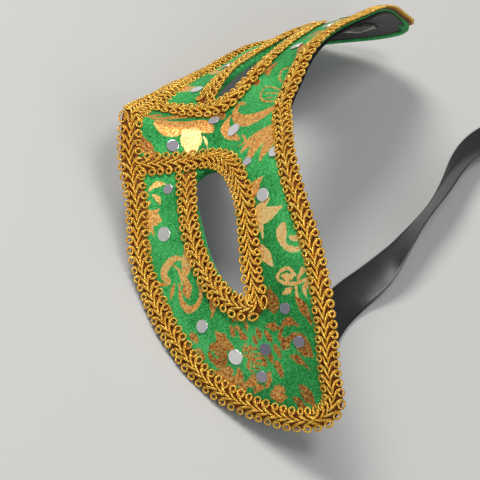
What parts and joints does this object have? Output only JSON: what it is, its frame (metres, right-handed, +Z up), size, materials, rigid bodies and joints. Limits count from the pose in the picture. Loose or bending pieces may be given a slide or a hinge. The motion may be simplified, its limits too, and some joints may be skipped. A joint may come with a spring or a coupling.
{
  "type": "venetian masquerade mask",
  "caption": "Half mask for the eyes and cheeks: a curved black shell covered in foil-printed green velvet, edged with gold gimp braid, with mirror sequins and a satin tie.",
  "frame": {"origin": "on the table under the middle of the mask's box, without its ties", "axes": "+Z up from the table that the mask lies on, +X to the wearer's left, +Y from the chin side of the mask to its brow side"},
  "size_m": [0.1837, 0.2275, 0.0627],
  "materials": {
    "shell": "glossy black moulded shell",
    "velvet": "short pile emerald velvet with gold foil print",
    "braid": "gold metallic gimp braid",
    "sequin": "silver mirror",
    "glue": "set hot glue",
    "ribbon": "black satin"
  },
  "bodies": {
    "root": {"shell": "shell", "velvet_cover": "velvet", "forehead_braid": "braid", "lower_braid": "braid", "left_eye_braid": "braid", "right_eye_braid": "braid", "nose_sequins": "sequin", "left_brow_sequins": "sequin", "left_cheek_sequins": "sequin", "left_temple_sequins": "sequin", "right_brow_sequins": "sequin", "right_cheek_sequins": "sequin", "right_temple_sequins": "sequin", "left_glue": "glue", "right_glue": "glue", "left_tie": "ribbon"}
  },
  "joints": []
}
